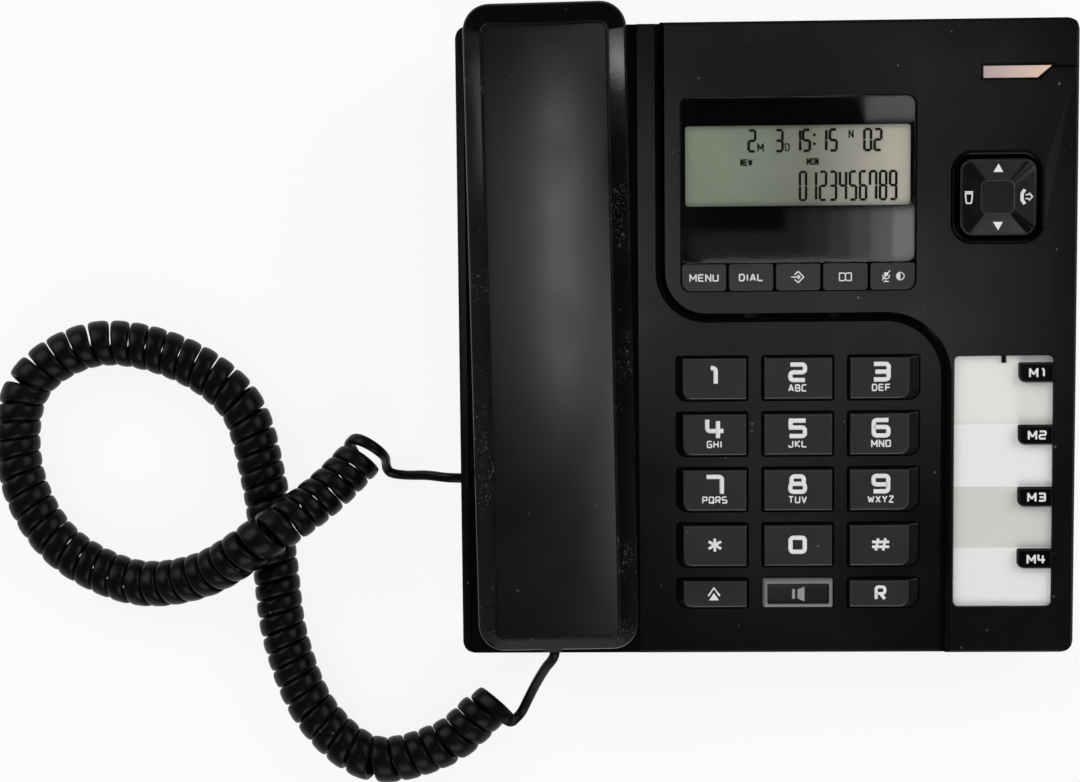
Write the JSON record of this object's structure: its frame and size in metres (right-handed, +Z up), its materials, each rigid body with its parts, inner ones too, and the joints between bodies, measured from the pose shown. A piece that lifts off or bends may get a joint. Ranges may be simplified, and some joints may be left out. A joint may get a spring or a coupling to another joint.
{
  "type": "corded telephone",
  "caption": "Corded desk telephone with a handset in a side cradle, a sloping keypad, a display with soft keys, a navigation key, memory keys and a curly cord.",
  "frame": {"origin": "on the table, under the middle of the telephone without its cord", "axes": "+X to the right as the user sees it, +Y to the rear, +Z up"},
  "size_m": [0.34, 0.24, 0.063],
  "materials": {
    "base_plastic": "satin",
    "fascia_plastic": "satin",
    "key_plastic": "satin",
    "soft_key_plastic": "satin",
    "memory_key_plastic": "satin",
    "nav_plastic": "gloss",
    "speaker_key_frame": "translucent",
    "speaker_key_cap": "gloss",
    "window_plastic": "gloss",
    "bezel_plastic": "gloss",
    "display_glass": "satin",
    "lamp_plastic": "gloss",
    "card_paper": "paper",
    "cover_plastic": "gloss",
    "board_laminate": "satin",
    "mat_rubber": "matte",
    "foot_rubber": "matte",
    "screw_steel": "satin",
    "cell_metal": "satin",
    "speaker_metal": "satin",
    "capsule_metal": "satin",
    "socket_plastic": "matte",
    "handset_plastic": "satin",
    "plug_plastic": "clear",
    "cord_plastic": "satin"
  },
  "bodies": {
    "base": {"base_bottom": "base_plastic", "base_top": "base_plastic", "fascia_panel": "fascia_plastic", "display_window": "window_plastic", "display_bezel": "bezel_plastic", "lcd_panel": "display_glass", "led_lens": "lamp_plastic", "memory_card": "card_paper", "memory_cover": "cover_plastic", "main_pcb": "board_laminate", "keypad_mat": "mat_rubber", "base_screws": "screw_steel", "rubber_feet": "foot_rubber", "battery_door": "base_plastic", "battery_cells": "cell_metal", "loudspeaker": "speaker_metal", "base_microphone": "capsule_metal", "line_jack": "socket_plastic", "handset_jack": "socket_plastic", "hook_housing": "socket_plastic", "hook_spring": "screw_steel", "base_plug": "plug_plastic", "cord_lead_base": "cord_plastic", "cord_coil": "cord_plastic", "cord_lead_handset": "cord_plastic"},
    "handset": {"handset_cover": "handset_plastic", "handset_tub": "handset_plastic", "earpiece": "capsule_metal", "handset_microphone": "capsule_metal", "handset_screws": "screw_steel", "handset_socket": "socket_plastic", "handset_plug": "plug_plastic"},
    "hook": {"hook_plunger": "base_plastic"},
    "nav_pivot": {"nav_stem": "mat_rubber"},
    "nav": {"nav_key": "nav_plastic"},
    "key_1_body": {"key_1": "key_plastic"},
    "key_2_body": {"key_2": "key_plastic"},
    "key_3_body": {"key_3": "key_plastic"},
    "key_4_body": {"key_4": "key_plastic"},
    "key_5_body": {"key_5": "key_plastic"},
    "key_6_body": {"key_6": "key_plastic"},
    "key_7_body": {"key_7": "key_plastic"},
    "key_8_body": {"key_8": "key_plastic"},
    "key_9_body": {"key_9": "key_plastic"},
    "key_star_body": {"key_star": "key_plastic"},
    "key_0_body": {"key_0": "key_plastic"},
    "key_hash_body": {"key_hash": "key_plastic"},
    "key_redial_body": {"key_redial": "key_plastic"},
    "key_speaker_body": {"key_speaker": "speaker_key_frame", "key_speaker_cap": "speaker_key_cap"},
    "key_flash_body": {"key_flash": "key_plastic"},
    "soft_key_1_body": {"soft_key_1": "soft_key_plastic"},
    "soft_key_2_body": {"soft_key_2": "soft_key_plastic"},
    "soft_key_3_body": {"soft_key_3": "soft_key_plastic"},
    "soft_key_4_body": {"soft_key_4": "soft_key_plastic"},
    "soft_key_5_body": {"soft_key_5": "soft_key_plastic"},
    "memory_key_1_body": {"memory_key_1": "memory_key_plastic"},
    "memory_key_2_body": {"memory_key_2": "memory_key_plastic"},
    "memory_key_3_body": {"memory_key_3": "memory_key_plastic"},
    "memory_key_4_body": {"memory_key_4": "memory_key_plastic"}
  },
  "joints": [
    {"name": "handset_lift", "type": "slide", "parent": "base", "child": "handset", "axis": [0, -0.1149, 0.9934], "range_m": [0, 0.06]},
    {"name": "hook_travel", "type": "slide", "parent": "base", "child": "hook", "axis": [0, -0.1149, 0.9934], "range_m": [0, 0.004], "deforming": ["hook_spring"]},
    {"name": "nav_tilt", "type": "hinge", "parent": "base", "child": "nav_pivot", "pos_m": [0.0699, 0.04059, 0.03859], "axis": [1, 0, 0], "range_deg": [-4, 4], "stiffness_Nm_per_rad": 0.02},
    {"name": "nav_rock", "type": "hinge", "parent": "nav_pivot", "child": "nav", "pos_m": [0.0699, 0.04059, 0.03859], "axis": [0, 0.9934, 0.1149], "range_deg": [-4, 4], "stiffness_Nm_per_rad": 0.02},
    {"name": "key_1_press", "type": "slide", "parent": "base", "child": "key_1_body", "axis": [0, 0.1149, -0.9934], "range_m": [0, 0.0012], "stiffness_N_per_m": 150, "springref_m": -0.002},
    {"name": "key_2_press", "type": "slide", "parent": "base", "child": "key_2_body", "axis": [0, 0.1149, -0.9934], "range_m": [0, 0.0012], "stiffness_N_per_m": 150, "springref_m": -0.002},
    {"name": "key_3_press", "type": "slide", "parent": "base", "child": "key_3_body", "axis": [0, 0.1149, -0.9934], "range_m": [0, 0.0012], "stiffness_N_per_m": 150, "springref_m": -0.002},
    {"name": "key_4_press", "type": "slide", "parent": "base", "child": "key_4_body", "axis": [0, 0.1149, -0.9934], "range_m": [0, 0.0012], "stiffness_N_per_m": 150, "springref_m": -0.002},
    {"name": "key_5_press", "type": "slide", "parent": "base", "child": "key_5_body", "axis": [0, 0.1149, -0.9934], "range_m": [0, 0.0012], "stiffness_N_per_m": 150, "springref_m": -0.002},
    {"name": "key_6_press", "type": "slide", "parent": "base", "child": "key_6_body", "axis": [0, 0.1149, -0.9934], "range_m": [0, 0.0012], "stiffness_N_per_m": 150, "springref_m": -0.002},
    {"name": "key_7_press", "type": "slide", "parent": "base", "child": "key_7_body", "axis": [0, 0.1149, -0.9934], "range_m": [0, 0.0012], "stiffness_N_per_m": 150, "springref_m": -0.002},
    {"name": "key_8_press", "type": "slide", "parent": "base", "child": "key_8_body", "axis": [0, 0.1149, -0.9934], "range_m": [0, 0.0012], "stiffness_N_per_m": 150, "springref_m": -0.002},
    {"name": "key_9_press", "type": "slide", "parent": "base", "child": "key_9_body", "axis": [0, 0.1149, -0.9934], "range_m": [0, 0.0012], "stiffness_N_per_m": 150, "springref_m": -0.002},
    {"name": "key_star_press", "type": "slide", "parent": "base", "child": "key_star_body", "axis": [0, 0.1149, -0.9934], "range_m": [0, 0.0012], "stiffness_N_per_m": 150, "springref_m": -0.002},
    {"name": "key_0_press", "type": "slide", "parent": "base", "child": "key_0_body", "axis": [0, 0.1149, -0.9934], "range_m": [0, 0.0012], "stiffness_N_per_m": 150, "springref_m": -0.002},
    {"name": "key_hash_press", "type": "slide", "parent": "base", "child": "key_hash_body", "axis": [0, 0.1149, -0.9934], "range_m": [0, 0.0012], "stiffness_N_per_m": 150, "springref_m": -0.002},
    {"name": "key_redial_press", "type": "slide", "parent": "base", "child": "key_redial_body", "axis": [0, 0.1149, -0.9934], "range_m": [0, 0.0012], "stiffness_N_per_m": 150, "springref_m": -0.002},
    {"name": "key_speaker_press", "type": "slide", "parent": "base", "child": "key_speaker_body", "axis": [0, 0.1149, -0.9934], "range_m": [0, 0.0012], "stiffness_N_per_m": 150, "springref_m": -0.002},
    {"name": "key_flash_press", "type": "slide", "parent": "base", "child": "key_flash_body", "axis": [0, 0.1149, -0.9934], "range_m": [0, 0.0012], "stiffness_N_per_m": 150, "springref_m": -0.002},
    {"name": "soft_key_1_press", "type": "slide", "parent": "base", "child": "soft_key_1_body", "axis": [0, 0.1149, -0.9934], "range_m": [0, 0.0012], "stiffness_N_per_m": 150, "springref_m": -0.002},
    {"name": "soft_key_2_press", "type": "slide", "parent": "base", "child": "soft_key_2_body", "axis": [0, 0.1149, -0.9934], "range_m": [0, 0.0012], "stiffness_N_per_m": 150, "springref_m": -0.002},
    {"name": "soft_key_3_press", "type": "slide", "parent": "base", "child": "soft_key_3_body", "axis": [0, 0.1149, -0.9934], "range_m": [0, 0.0012], "stiffness_N_per_m": 150, "springref_m": -0.002},
    {"name": "soft_key_4_press", "type": "slide", "parent": "base", "child": "soft_key_4_body", "axis": [0, 0.1149, -0.9934], "range_m": [0, 0.0012], "stiffness_N_per_m": 150, "springref_m": -0.002},
    {"name": "soft_key_5_press", "type": "slide", "parent": "base", "child": "soft_key_5_body", "axis": [0, 0.1149, -0.9934], "range_m": [0, 0.0012], "stiffness_N_per_m": 150, "springref_m": -0.002},
    {"name": "memory_key_1_press", "type": "slide", "parent": "base", "child": "memory_key_1_body", "axis": [0, 0.1149, -0.9934], "range_m": [0, 0.0012], "stiffness_N_per_m": 150, "springref_m": -0.002},
    {"name": "memory_key_2_press", "type": "slide", "parent": "base", "child": "memory_key_2_body", "axis": [0, 0.1149, -0.9934], "range_m": [0, 0.0012], "stiffness_N_per_m": 150, "springref_m": -0.002},
    {"name": "memory_key_3_press", "type": "slide", "parent": "base", "child": "memory_key_3_body", "axis": [0, 0.1149, -0.9934], "range_m": [0, 0.0012], "stiffness_N_per_m": 150, "springref_m": -0.002},
    {"name": "memory_key_4_press", "type": "slide", "parent": "base", "child": "memory_key_4_body", "axis": [0, 0.1149, -0.9934], "range_m": [0, 0.0012], "stiffness_N_per_m": 150, "springref_m": -0.002}
  ],
  "couplings": [
    {"joint": "hook_travel", "follows": "handset_lift", "ratio": 0.0666}
  ]
}
